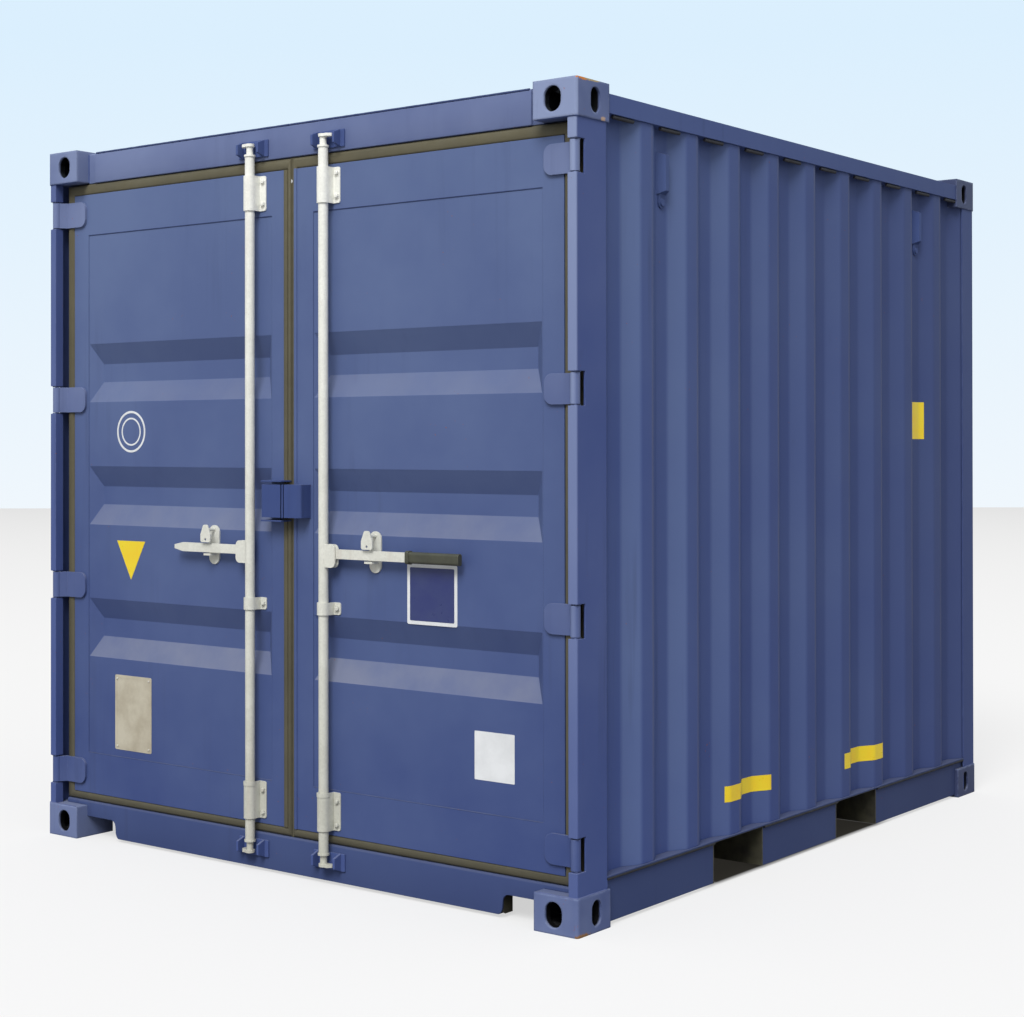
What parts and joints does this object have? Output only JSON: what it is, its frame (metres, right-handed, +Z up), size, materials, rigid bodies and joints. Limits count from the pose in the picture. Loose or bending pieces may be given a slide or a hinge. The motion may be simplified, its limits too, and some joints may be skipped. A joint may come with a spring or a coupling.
{
  "type": "shipping container",
  "caption": "Ten-foot steel box container with hinged double doors, lock bars, corrugated walls and roof, corner fittings and fork pockets.",
  "frame": {"origin": "middle of the rectangle on which the four lower corner fittings stand", "axes": "+X from the door end to the closed end, +Y from the side shown in the picture to the hidden side, +Z up"},
  "size_m": [2.991, 2.438, 2.591],
  "materials": {
    "panel_blue": "satin blue paint",
    "fitting_blue": "worn blue paint on cast steel",
    "box_blue": "satin blue paint",
    "galvanised": "pale zinc coating",
    "seal_rubber": "weathered dark olive rubber",
    "plywood": "sealed hardwood plywood",
    "vent_plastic": "painted over in blue",
    "grip_plastic": "dark plastic"
  },
  "bodies": {
    "frame": {"bottom_corner_fittings": "fitting_blue", "top_corner_fittings": "fitting_blue", "door_post_right": "panel_blue", "door_post_left": "panel_blue", "rear_post_right": "panel_blue", "rear_post_left": "panel_blue", "door_header": "panel_blue", "door_sill": "panel_blue", "rear_top_rail": "panel_blue", "rear_bottom_rail": "panel_blue", "top_side_rail_right": "panel_blue", "top_side_rail_left": "panel_blue", "bottom_side_rail_right": "panel_blue", "bottom_side_rail_left": "panel_blue", "side_wall_right": "panel_blue", "side_wall_left": "panel_blue", "end_wall": "panel_blue", "roof_panel": "panel_blue", "roof_end_plate": "panel_blue", "roof_corner_plates": "panel_blue", "cross_members": "panel_blue", "fork_pockets": "panel_blue", "plywood_floor": "plywood", "side_vents": "vent_plastic", "hinge_lugs_right": "panel_blue", "hinge_lugs_left": "panel_blue", "cam_keepers": "panel_blue"},
    "door_right": {"door_frame_right": "panel_blue", "door_panel_right": "panel_blue", "door_gasket_right": "seal_rubber", "hinge_blades_right": "panel_blue", "bar_guides_right": "galvanised", "handle_rest_right": "galvanised", "lock_box_right": "box_blue"},
    "lock_bar_right": {"lock_bar_right": "galvanised"},
    "handle_right": {"handle_right": "galvanised", "grip_right": "grip_plastic"},
    "hasp_right": {"hasp_right": "galvanised"},
    "door_left": {"door_frame_left": "panel_blue", "door_panel_left": "panel_blue", "door_gasket_left": "seal_rubber", "hinge_blades_left": "panel_blue", "bar_guides_left": "galvanised", "handle_rest_left": "galvanised", "lock_box_left": "box_blue"},
    "lock_bar_left": {"lock_bar_left": "galvanised"},
    "handle_left": {"handle_left": "galvanised"},
    "hasp_left": {"hasp_left": "galvanised"}
  },
  "joints": [
    {"name": "door_right_hinge", "type": "hinge", "parent": "frame", "child": "door_right", "pos_m": [-1.4735, -1.197, 1.3], "axis": [0, 0, 1], "range_deg": [0, 264]},
    {"name": "lock_bar_right_turn", "type": "hinge", "parent": "door_right", "child": "lock_bar_right", "pos_m": [-1.4715, -0.172, 1.3], "axis": [0, 0, 1], "range_deg": [-100, 0]},
    {"name": "handle_right_lift", "type": "hinge", "parent": "lock_bar_right", "child": "handle_right", "pos_m": [-1.4715, -0.21, 1.11604], "axis": [1, 0, 0], "range_deg": [-6, 0]},
    {"name": "hasp_right_turn", "type": "hinge", "parent": "door_right", "child": "hasp_right", "pos_m": [-1.4855, -0.377, 1.18004], "axis": [1, 0, 0], "range_deg": [0, 80]},
    {"name": "door_left_hinge", "type": "hinge", "parent": "frame", "child": "door_left", "pos_m": [-1.4735, 1.197, 1.3], "axis": [0, 0, -1], "range_deg": [0, 264]},
    {"name": "lock_bar_left_turn", "type": "hinge", "parent": "door_left", "child": "lock_bar_left", "pos_m": [-1.4715, 0.172, 1.3], "axis": [0, 0, -1], "range_deg": [-100, 0]},
    {"name": "handle_left_lift", "type": "hinge", "parent": "lock_bar_left", "child": "handle_left", "pos_m": [-1.4715, 0.21, 1.11604], "axis": [-1, 0, 0], "range_deg": [-6, 0]},
    {"name": "hasp_left_turn", "type": "hinge", "parent": "door_left", "child": "hasp_left", "pos_m": [-1.4855, 0.377, 1.18004], "axis": [-1, 0, 0], "range_deg": [0, 80]}
  ]
}
